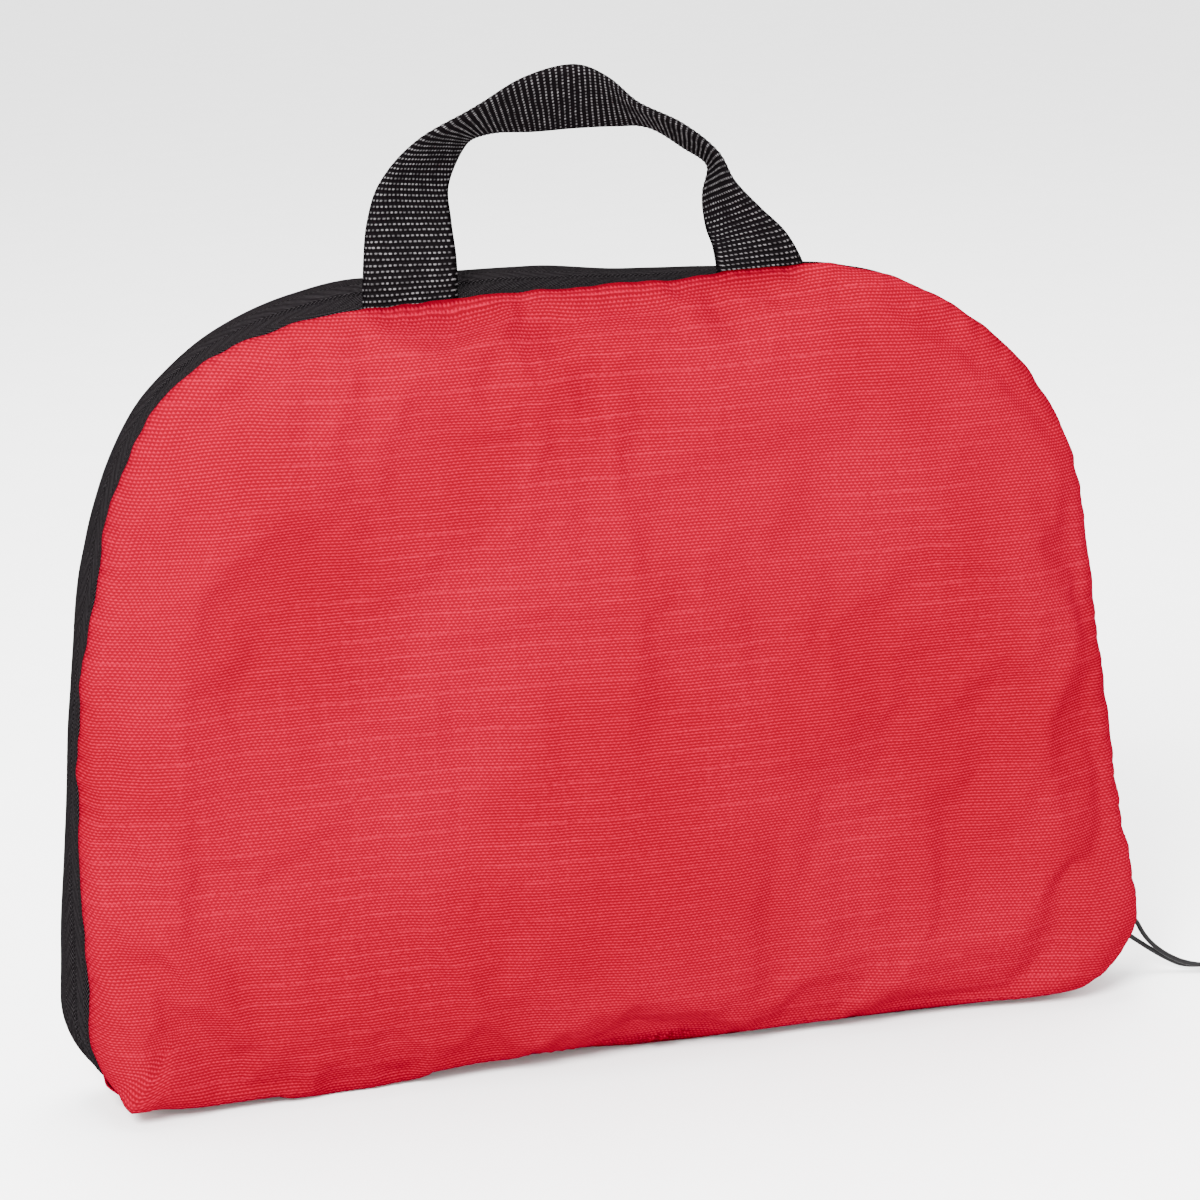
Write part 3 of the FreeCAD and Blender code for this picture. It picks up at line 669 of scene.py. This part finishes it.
def shape_front(made):
    """Shapes added to the simulated front: corner ears, the bulge by the slider, folds, seam puckers."""
    mesh = made.data
    co = np.array([v.co for v in mesh.vertices])
    gaps, nearest = edge_distance(co[:, [0, 2]])
    for k in range(len(co)):
        x, y, z = co[k]
        forward = np.clip((SEAM_FRONT - y) / (12 * MM), 0, 1)
        for middle, lift, angle, width in EARS:
            away = np.array([x - MIDDLE_X - middle, z - CORNER_RADIUS])
            turn = math.degrees(math.atan2(away[1], away[0]))
            bump = math.exp(-((turn - angle) / width) ** 2) * forward * math.exp(-(gaps[k] / (14 * MM)) ** 2)
            co[k, [0, 2]] += away / max(np.linalg.norm(away), 1e-6) * lift * bump
        for across, up, width, lift in BULGES:
            near = math.exp(-((x - MIDDLE_X - across) / (9 * MM)) ** 2 - ((z - up) / width) ** 2)
            co[k, 0] += math.copysign(lift * near * forward, across)
        for start, end, width, height in FOLDS:
            a, b = np.array(start) * MM, np.array(end) * MM
            p = np.array([x - MIDDLE_X, z])
            t = np.clip(np.dot(p - a, b - a) / np.dot(b - a, b - a), 0, 1)
            off = np.linalg.norm(p - a - (b - a) * t) / (width * MM)
            co[k, 1] += height * MM * math.exp(-off ** 2) * (1 - t) ** 0.6 * min(1, gaps[k] / (4.5 * MM))
        if z > 6 * MM and gaps[k] > 0.2 * MM:
            along = ALONG[nearest[k]]
            crease = wobble(along, 0.7, 0.0, 150.0) + 0.6 * wobble(along, 3.1, 0.0, 330.0)
            co[k, 1] += 1.1 * MM * crease * math.exp(-gaps[k] / (5 * MM)) * min(1, gaps[k] / (2 * MM))
        co[k, 1] = min(co[k, 1], blanket_front(x, z))
    mesh.vertices.foreach_set("co", co.astype(np.float32).ravel())
    mesh.update()


front = cloth_panel("front_cloth", -1, 13.5 * MM, 26 * MM, 0.6, -0.025, 1.0)
refine(front)
shape_front(front)
thicken(front, CLOTH)
replace(front, "front_panel")

back = cloth_panel("back_cloth", 1, 7.0 * MM, 20 * MM, 1.0, -0.01, 5.0)
refine(back)
thicken(back, CLOTH)
replace(back, "back_panel", "root")


# ---------------------------------------------------------------- zip

def tape_section(near, far):
    """The section of a tape half: its outer face with a slight crown, a folded edge, and its inner face."""
    thick, crown = 0.6 * MM, 0.3 * MM
    fall = abs(far - near)
    corners = []
    for y in np.linspace(near, far, 10):
        t = (y - SEAM_MIDDLE) / (SEAM_BACK - SEAM_MIDDLE)
        ridge = -crown * (1 - t * t) + 0.35 * MM * math.exp(-((y - SEAM_MIDDLE) / (1.0 * MM)) ** 2)
        if near < far:
            ridge += 1.2 * MM * math.exp(-((y - near) / (1.4 * MM)) ** 2)
        corners.append((ridge, y, abs(y - near)))
    return corners + [(inset + thick, y, fall * 2 - across) for inset, y, across in reversed(corners)]


def zip_tapes():
    """Both tape halves, which nearly meet in the middle of the band."""
    rows = rows_between(GUSSET_TOP - 1 * MM, GUSSET_TOP - 1 * MM)
    gap = 0.04 * MM
    for node, near, far, body in (
            ("zip_tape_front", SEAM_FRONT - 1.0 * MM, SEAM_MIDDLE - gap, None),
            ("zip_tape_back", SEAM_BACK + 0.3 * MM, SEAM_MIDDLE + gap, "root")):
        made = sweep(node + "_cloth", rows, tape_section(near, far), TAPE, 0.5 * MM)
        replace(made, node, body)


def tube(name, points, radius, material, sides):
    """A round tube along points."""
    points = np.array(points)
    ahead = np.gradient(points, axis=0)
    ahead /= np.linalg.norm(ahead, axis=1, keepdims=True)
    reference = np.array([0.0, 1.0, 0.0])
    vertices = []
    for p, a in zip(points, ahead):
        if abs(np.dot(reference, a)) > 0.95:
            reference = np.array([1.0, 0.0, 0.0]) if abs(a[0]) < 0.8 else np.array([0.0, 0.0, 1.0])
        one = np.cross(a, reference)
        one /= np.linalg.norm(one)
        two = np.cross(a, one)
        reference = np.cross(one, a)
        for s in range(sides):
            turn = 2 * math.pi * s / sides
            vertices.append(p + radius * (math.cos(turn) * one + math.sin(turn) * two))
    return finish_mesh(name, vertices, ring_faces(len(points), sides), material)


def ring_at(position, inset, depth):
    """A point inside the moved outline, at a distance along it."""
    k = int(np.searchsorted(ALONG, position)) - 1
    k = max(0, min(k, len(ALONG) - 2))
    t = (position - ALONG[k]) / (ALONG[k + 1] - ALONG[k])
    here = (CENTRES[k] + NORMALS[k] * (RADII[k] - inset + stray(k, depth))) * (1 - t)
    there = (CENTRES[k + 1] + NORMALS[k + 1] * (RADII[k + 1] - inset + stray(k + 1, depth))) * t
    x, z = here + there
    return np.array([x + MIDDLE_X, depth, z])


def coil(node, side):
    """The nylon coil sewn to the inside of a tape: flattened turns along the tape's inner edge."""
    rows = rows_between(13.5 * MM, 25.5 * MM)
    start, end = ALONG[rows[0]], ALONG[rows[-1]]
    pitch, per_turn, middle = 1.35 * MM, 8, 1.75 * MM
    lead = 0.25 if side > 0 else 0
    points = []
    for k in range(int((end - start) / pitch * per_turn)):
        turn = 2 * math.pi * k / per_turn
        depth = SEAM_MIDDLE + side * (middle + 0.95 * MM * math.cos(turn))
        inset = 1.75 * MM + 0.75 * MM * math.sin(turn)
        points.append(ring_at(start + pitch * (k / per_turn + lead), inset, depth))
    return tube(node + "_spiral", points, 0.3 * MM, NYLON, 5)


def binding(node):
    """A soft tape folded over a seam's raw edges."""
    low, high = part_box(node)
    middle, half = (low.y + high.y) / 2, (high.y - low.y) / 2
    inset, thick, sides = 2.4 * MM, 1.5 * MM, 12
    corners = []
    for k in range(sides):
        turn = 2 * math.pi * k / sides
        across = math.copysign(abs(math.cos(turn)) ** 0.6, math.cos(turn))
        up = math.copysign(abs(math.sin(turn)) ** 0.8, math.sin(turn))
        corners.append((inset + thick / 2 - up * thick / 2, middle + across * half))
    around = 0.0
    measured = []
    for here, following in zip(corners, corners[1:] + corners[:1]):
        measured.append((*here, around))
        around += math.hypot(following[0] - here[0], following[1] - here[1])
    return sweep(node + "_fold", rows_between(GUSSET_TOP, GUSSET_TOP), measured, BINDING, 0.3 * MM)


def clip(node):
    """A bent metal stop: the plain block with its edges rounded."""
    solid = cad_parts[node]
    mesh = solid.data.copy()
    mesh.transform(solid.matrix_world)
    mesh.name = node + "_clip"
    mesh.materials.clear()
    mesh.materials.append(STEEL)
    made = bpy.data.objects.new(node + "_clip", mesh)
    bpy.context.scene.collection.objects.link(made)
    work = bmesh.new()
    work.from_mesh(mesh)
    bmesh.ops.remove_doubles(work, verts=work.verts, dist=0.01 * MM)
    sharp = [e for e in work.edges if len(e.link_faces) == 2 and e.calc_face_angle() > 1.0]
    bmesh.ops.bevel(work, geom=sharp, offset=0.35 * MM, segments=3, profile=0.5, affect="EDGES")
    work.to_mesh(mesh)
    work.free()
    return made


zip_tapes()
replace(coil("zip_coil_front", -1), "zip_coil_front")
replace(coil("zip_coil_back", 1), "zip_coil_back", "root")
replace(binding("seam_binding_front"), "seam_binding_front")
replace(binding("seam_binding_back"), "seam_binding_back", "root")
replace(clip("zip_bottom_stop"), "zip_bottom_stop", "root")
replace(clip("zip_top_stop_front"), "zip_top_stop_front")
replace(clip("zip_top_stop_back"), "zip_top_stop_back", "root")
for node in ("slider_body", "pull_tab"):
    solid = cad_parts[node]
    if not solid.data.materials:
        solid.data.materials.append(SLIDER)
    for held in solid.material_slots:
        held.material = SLIDER


# ---------------------------------------------------------------- bottom cloth

def bottom_cloth():
    """One cloth under the pouch: level with both seams, sagging between, and turned up at both corners."""
    above = set(rows_between(GUSSET_TOP + 0.5 * MM, GUSSET_TOP + 0.5 * MM))
    rows = [k for k in range(len(RING)) if k not in above]
    start = next(n for n in range(1, len(rows)) if rows[n] - rows[n - 1] > 1)
    rows = rows[start:] + rows[:start]
    across = 14
    vertices, uvs = [], []
    run = 0.0
    for n, i in enumerate(rows):
        if n:
            run += float(np.linalg.norm(RING[i] - RING[rows[n - 1]]))
        x, z = RING[i]
        off_floor = 0.4 * MM * (z < 2 * MM)
        for k in range(across):
            t = k / (across - 1)
            depth = SEAM_FRONT + (SEAM_BACK - SEAM_FRONT) * t
            lift = bottom_lift(x) * (2 * t - 1) ** 2
            inset = 0.2 * MM + 0.4 * MM * wobble(x, depth, z, 90.0) * math.sin(math.pi * t)
            vertices.append((x - NORMALS[i, 0] * inset, depth, z + lift + off_floor - NORMALS[i, 1] * inset))
            uvs.append((run, depth))
    made = finish_mesh("bottom_cloth", vertices, grid_faces(len(rows), across), RED, uvs)
    refine(made)
    thicken(made, CLOTH)
    replace(made, "bottom_gusset", "root")


bottom_cloth()


# ---------------------------------------------------------------- handle

# both edges of the webbing from the left foot to the right one: the outer edge, then the inner one, in
# millimetres from the pouch's middle and the row's middle plane. These too start from measurements, and most
# were then moved
HANDLE_EDGES = [
    ((-56.4, -4.0, 196.0), (-32.6, -4.0, 196.0)),
    ((-56.4, -4.6, 201.0), (-32.6, -4.4, 201.0)),
    ((-55.9, -6.5, 212.0), (-32.4, -4.5, 210.5)),
    ((-54.8, -9.0, 222.0), (-32.6, -1.5, 219.6)),
    ((-51.6, -12.0, 231.6), (-32.2, 1.0, 228.2)),
    ((-43.3, -14.6, 240.7), (-26.8, 3.6, 237.1)),
    ((-29.3, -16.0, 247.8), (-21.0, 5.2, 239.2)),
    ((-16.1, -14.7, 254.4), (-9.9, 3.7, 239.0)),
    ((-3.4, -14.1, 256.8), (0.6, 3.1, 239.2)),
    ((5.0, -15.0, 253.4), (11.2, 4.0, 238.8)),
    ((11.6, -16.2, 246.7), (20.5, 5.2, 237.7)),
    ((22.3, -16.6, 241.0), (28.7, 5.6, 232.2)),
    ((30.9, -17.0, 233.6), (34.8, 6.0, 227.2)),
    ((35.7, -16.5, 225.8), (32.6, 5.0, 219.8)),
    ((42.6, -13.0, 218.6), (32.2, 1.5, 212.8)),
    ((50.5, -9.0, 210.8), (33.0, -2.0, 207.6)),
    ((56.2, -4.6, 201.0), (33.2, -4.4, 201.0)),
    ((56.2, -4.0, 196.0), (33.2, -4.0, 196.0)),
]


def smooth_line(points, parts):
    """A Catmull-Rom line through points."""
    points = np.array(points, float)
    padded = np.vstack([2 * points[0] - points[1], points, 2 * points[-1] - points[-2]])
    line = []
    for k in range(1, len(points)):
        p0, p1, p2, p3 = padded[k - 1:k + 3]
        for s in range(parts):
            t = s / parts
            line.append(0.5 * (2 * p1 + (p2 - p0) * t + (2 * p0 - 5 * p1 + 4 * p2 - p3) * t * t
                               + (3 * p1 - p0 - 3 * p2 + p3) * t ** 3))
    line.append(points[-1])
    return np.array(line)


def strap(name, outer, inner, thick, material, ribs, rib_pitch=1.42 * MM):
    """Webbing between two edge lines: two faces, rounded edges, and raised ribs across."""
    middle = (outer + inner) / 2
    ahead = np.gradient(middle, axis=0)
    over = inner - outer
    up = np.cross(ahead, over)
    up /= np.linalg.norm(up, axis=1, keepdims=True)
    steps = np.linalg.norm(np.diff(middle, axis=0), axis=1)
    along = np.concatenate([[0], np.cumsum(steps)])
    across = 14
    section = [(0.0, 0.0)]
    for k in range(1, across - 1):
        t = k / (across - 1)
        section.append((t, 0.5 * min(1.0, (math.sin(math.pi * t) * 3.2) ** 0.5)))
    section.append((1.0, 0.0))
    section += [(t, -h) for t, h in section[-2:0:-1]]
    vertices, uvs = [], []
    for n in range(len(middle)):
        width = np.linalg.norm(over[n])
        bump = 1 + ribs * math.cos(2 * math.pi * along[n] / rib_pitch)
        for t, h in section:
            vertices.append(outer[n] + over[n] * t + up[n] * thick * h * bump)
            uvs.append((along[n], width * t + (0.0 if h >= 0 else 0.001)))
    made = finish_mesh(name, vertices, ring_faces(len(middle), len(section)), material, uvs)
    recalculate(made)
    return made


def handle():
    """The carry loop, which bends above its sewn feet, and its two tails inside the cover."""
    shift = np.array([MIDDLE_X, 0, 0])
    outer = smooth_line([p for p, _ in HANDLE_EDGES], 24) * MM + shift
    inner = smooth_line([p for _, p in HANDLE_EDGES], 24) * MM + shift
    made = strap("handle_strap", outer, inner, 1.7 * MM, STRAP, 0.1)
    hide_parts("handle_webbing")
    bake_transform(made)
    for node in ("handle_tail_left", "handle_tail_right"):
        low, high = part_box(node)
        depth = (low.y + high.y) / 2 + 0.6 * MM
        line = [(depth + 0.3 * MM * math.sin(z * 900), z)
                for z in np.linspace(high.z - 2.5 * MM, low.z, 26)]
        outer, inner = (np.array([(x, y, z) for y, z in line]) for x in (low.x, high.x))
        tail = strap(node + "_strap", outer, inner, 1.6 * MM, STRAP, 0.1)
        replace(tail, node, "cover")


handle()


# ---------------------------------------------------------------- cord and grip

# the same points as the pull cord's route, in millimetres from the pouch's middle and the row's middle plane
CORD_ROUTE = [
    (161.8, -4.5, 1.9), (158.0, -3.1, 2.3), (153.4, -1.1, 4.4), (149.6, 0.7, 7.4), (147.2, 2.2, 10.8),
    (146.0, 3.2, 14.0), (143.8, 3.5, 16.0), (142.0, 3.8, 14.2), (142.4, 3.8, 11.2), (145.2, 3.4, 9.0),
    (149.0, 2.0, 6.2), (153.2, 0.2, 3.4), (157.6, -1.8, 1.3), (161.8, -3.1, 1.5),
]


def pull_cord():
    """The doubled cord as one loop."""
    curve = bpy.data.curves.new("pull_cord_loop", "CURVE")
    curve.dimensions = "3D"
    spline = curve.splines.new("NURBS")
    spline.points.add(len(CORD_ROUTE) - 1)
    for point, (x, y, z) in zip(spline.points, CORD_ROUTE):
        point.co = (x * MM + MIDDLE_X, y * MM, z * MM, 1)
    spline.order_u = 3
    spline.use_endpoint_u = True
    curve.bevel_depth = 0.65 * MM
    curve.bevel_resolution = 4
    curve.resolution_u = 16
    curve.use_fill_caps = True
    curve.materials.append(CORD)
    made = bpy.data.objects.new("pull_cord_loop", curve)
    bpy.context.scene.collection.objects.link(made)
    replace(made, "pull_cord", "puller")
    return made


def grip():
    """A moulded grip: a waisted bar with rounded ends and raised ribs on both faces."""
    turn = math.radians(-20.5)
    along = np.array([math.cos(turn), math.sin(turn), 0])
    over = np.array([-math.sin(turn), math.cos(turn), 0])
    start = np.array([161.8 * MM + MIDDLE_X, -3.8 * MM, 0])
    length, width, thick = 24 * MM, 7 * MM, 4.8 * MM
    rings, sides = 60, 20
    vertices = []
    for n in range(rings):
        t = n / (rings - 1)
        from_end = min(1.0, min(t, 1 - t) / 0.11)
        end = max(0.05, math.sqrt(1 - (1 - from_end) ** 2))
        waist = 1 - 0.16 * math.sin(math.pi * t) ** 2
        ridge = 1 + 0.05 * max(0, math.cos(2 * math.pi * (t - 0.5) / 0.085)) * (0.2 < t < 0.8)
        for s in range(sides):
            a = 2 * math.pi * s / sides
            c = math.copysign(abs(math.cos(a)) ** 0.65, math.cos(a))
            u = math.copysign(abs(math.sin(a)) ** 0.65, math.sin(a))
            across = width / 2 * waist * c * (0.55 + 0.45 * end)
            up = thick / 2 * (0.97 * u * end * (0.94 + 0.06 * ridge / 1.05)) + thick / 2
            vertices.append(start + along * (t * length) + over * across + np.array([0, 0, up]))
    made = finish_mesh("cord_grip_body", vertices, ring_faces(rings, sides), GRIP)
    recalculate(made)
    replace(made, "cord_grip", "puller")
    return made


cord_piece = pull_cord()
grip_piece = grip()


# ---------------------------------------------------------------- blanket

def folded(distance, panel, panels, gap, rounding):
    """Where a length lies once folded back and forth: along a panel, up the stack, and which panel."""
    number = min(int(distance / panel), panels - 1)
    t = distance - number * panel
    lift = number * gap
    if t < rounding and number > 0:
        lift -= gap / 2 * (1 - t / rounding) ** 2
    if panel - t < rounding and number < panels - 1:
        lift += gap / 2 * (1 - (panel - t) / rounding) ** 2
    return (t if number % 2 == 0 else panel - t), lift, number


def fold_cuts(panel, panels, inside, near):
    """Distances for the mesh's rows: close together at the folds."""
    margin = near[-1] * 1.6
    values = []
    for k in range(panels):
        values += [k * panel + t for t in near]
        values += list(np.linspace(k * panel + margin, (k + 1) * panel - margin, inside))
        values += [(k + 1) * panel - t for t in reversed(near[1:])]
    return values + [BLANKET_SIDE]


def folded_blanket():
    """One square of glass cloth folded in seven, then in five, as a single sheet through all its layers."""
    low, high = BLANKET_LOW, BLANKET_HIGH
    panels_up, panels_across = 7, 5
    height = BLANKET_SIDE / panels_up
    width = BLANKET_SIDE / panels_across
    full = (high.y - low.y) * 0.97
    layer = full / (panels_up * panels_across)
    stack = layer * panels_up
    base_z = low.z + 1.0 * MM
    middle_x = (low.x + high.x) / 2
    middle_y = (low.y + high.y) / 2
    ups = fold_cuts(height, panels_up, 12, [0, 0.35 * MM, 0.9 * MM, 1.8 * MM])
    acrosses = fold_cuts(width, panels_across, 16, [0, 0.8 * MM, 1.9 * MM, 3.2 * MM, 5.0 * MM])
    vertices, uvs = [], []
    for a in acrosses:
        place_x, lift_x, number = folded(a, width, panels_across, stack, 5.0 * MM)
        for b in ups:
            place_z, lift_z, _ = folded(b, height, panels_up, layer, 1.8 * MM)
            # every other stack lies turned over; its outer layers are a little narrower than its middle
            depth = lift_x + (lift_z if number % 2 == 0 else stack - layer - lift_z)
            shrink = 1 - 1.2 * MM * ((lift_z / stack - 0.5) * 2) ** 2 / (width / 2)
            x = middle_x + (place_x - width / 2) * shrink
            z = base_z + place_z
            wave = 0.6 * MM * wobble(x, 0.0, z, 22.0) + 0.3 * MM * wobble(x, 0.3, z, 60.0)
            sag = 1.2 * MM * wobble(x, 0.7, depth * 8, 18.0) * (place_z / height)
            nearest_end = min(place_z, height - place_z, width / 2 - abs(x - middle_x) + 1 * MM)
            depth = middle_y + (full / 2 - depth) * blanket_thinning(nearest_end)
            vertices.append((x, depth + wave * 0.5, z + sag * 0.6))
            uvs.append((a, b))
    made = finish_mesh("blanket_cloth", vertices, grid_faces(len(acrosses), len(ups)), GLASS, uvs)
    replace(made, "blanket", "blanket")


def dashes(corners):
    """Stitches along a line through the corners: the start and end of each one."""
    pitch, share = 3.2 * MM, 0.72
    found = []
    for start, end in zip(corners, corners[1:]):
        start, end = Vector(start), Vector(end)
        count = max(1, round((end - start).length / pitch))
        for k in range(count):
            found.append((start.lerp(end, k / count), start.lerp(end, (k + share) / count)))
    return found


def sew(made, stitches, material):
    """Adds raised stitches to a piece's mesh, standing out of its front face."""
    width, rise, sunk = 0.55 * MM, 0.25 * MM, 0.3 * MM
    out = Vector((0, -1, 0))
    made.data.materials.append(material)
    slot = len(made.data.materials) - 1
    work = bmesh.new()
    work.from_mesh(made.data)
    for start, end in stitches:
        along = (end - start).normalized()
        over = out.cross(along) * width / 2
        tip = along * width * 0.4
        foot = (start + over, end + over, end - over, start - over)
        low = [work.verts.new(p - out * sunk) for p in foot]
        over = over * 0.6
        crest = (start + tip + over, end - tip + over, end - tip - over, start + tip - over)
        high = [work.verts.new(p + out * rise) for p in crest]
        sides = [(low[k], low[(k + 1) % 4], high[(k + 1) % 4], high[k]) for k in range(4)]
        for corners in sides + [high, low[::-1]]:
            work.faces.new(corners).material_index = slot
    work.to_mesh(made.data)
    work.free()


def pull_tapes():
    """Two white tapes over the blanket's top edge, each sewn down with a boxed cross."""
    for node in ("blanket_tape_left", "blanket_tape_right"):
        low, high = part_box(node)
        depth = (low.y + high.y) / 2
        line = [(depth + 0.35 * MM * math.sin((z - low.z) * 120), z) for z in np.linspace(high.z, low.z, 80)]
        outer, inner = (np.array([(x, y, z) for y, z in line]) for x in (low.x, high.x))
        made = strap(node + "_strap", outer, inner, 1.1 * MM, WHITE_TAPE, 0.08, 1.3 * MM)
        left, right = low.x + 3 * MM, high.x - 3 * MM
        bottom, top = low.z + 3 * MM, low.z + 20 * MM
        face = depth - 0.75 * MM
        a, b, c, d = (left, face, bottom), (right, face, bottom), (right, face, top), (left, face, top)
        sew(made, dashes([a, b, c, d, a, c]) + dashes([b, d]), GREY_THREAD)
        replace(made, node, "blanket")


folded_blanket()
pull_tapes()
